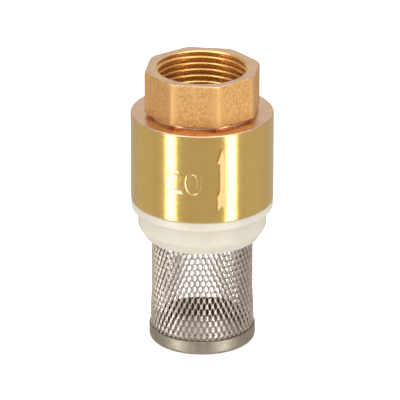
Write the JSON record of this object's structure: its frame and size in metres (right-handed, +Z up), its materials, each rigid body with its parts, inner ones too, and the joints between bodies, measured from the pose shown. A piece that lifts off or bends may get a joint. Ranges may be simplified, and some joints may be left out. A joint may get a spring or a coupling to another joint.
{
  "type": "foot valve",
  "caption": "Spring-loaded brass foot valve with an octagonal threaded socket, a round drum, a nylon collar and a stainless mesh strainer that ends in a pressed cup.",
  "frame": {"origin": "centre of the underside of the strainer's cup", "axes": "+Z up along the valve's axis towards the threaded outlet, -Y through the octagon flat that faces forwards, +X to the right of it"},
  "size_m": [0.0396, 0.0396, 0.0803],
  "materials": {
    "brass": "sand-blasted cast head, bright turned drum",
    "white_nylon": "natural moulded nylon",
    "acetal": "moulded acetal",
    "nitrile_rubber": "matt moulded rubber",
    "stainless_mesh": "expanded sheet",
    "stainless_sheet": "pressed bright sheet",
    "dark_steel": "dull rolled strip",
    "stainless_bar": "turned",
    "spring_wire": "drawn wire"
  },
  "bodies": {
    "housing": {"valve_body": "brass", "guide_spider": "acetal", "return_spring": "spring_wire", "seat_ring": "brass", "seat_o_ring": "nitrile_rubber", "collar_o_ring": "nitrile_rubber", "strainer_collar": "white_nylon", "upper_hoop": "dark_steel", "strainer_mesh": "stainless_mesh", "lower_hoop": "dark_steel", "strainer_cup": "stainless_sheet"},
    "poppet": {"poppet_stem": "stainless_bar", "poppet_plate": "acetal", "poppet_seal": "nitrile_rubber", "poppet_retainer": "stainless_bar", "lock_washer": "stainless_bar", "stem_nut": "stainless_bar"}
  },
  "joints": [
    {"name": "poppet_lift", "type": "slide", "parent": "housing", "child": "poppet", "axis": [0, 0, 1], "range_m": [0, 0.0055], "stiffness_N_per_m": 120, "springref_m": -0.005, "deforming": ["return_spring"]}
  ]
}
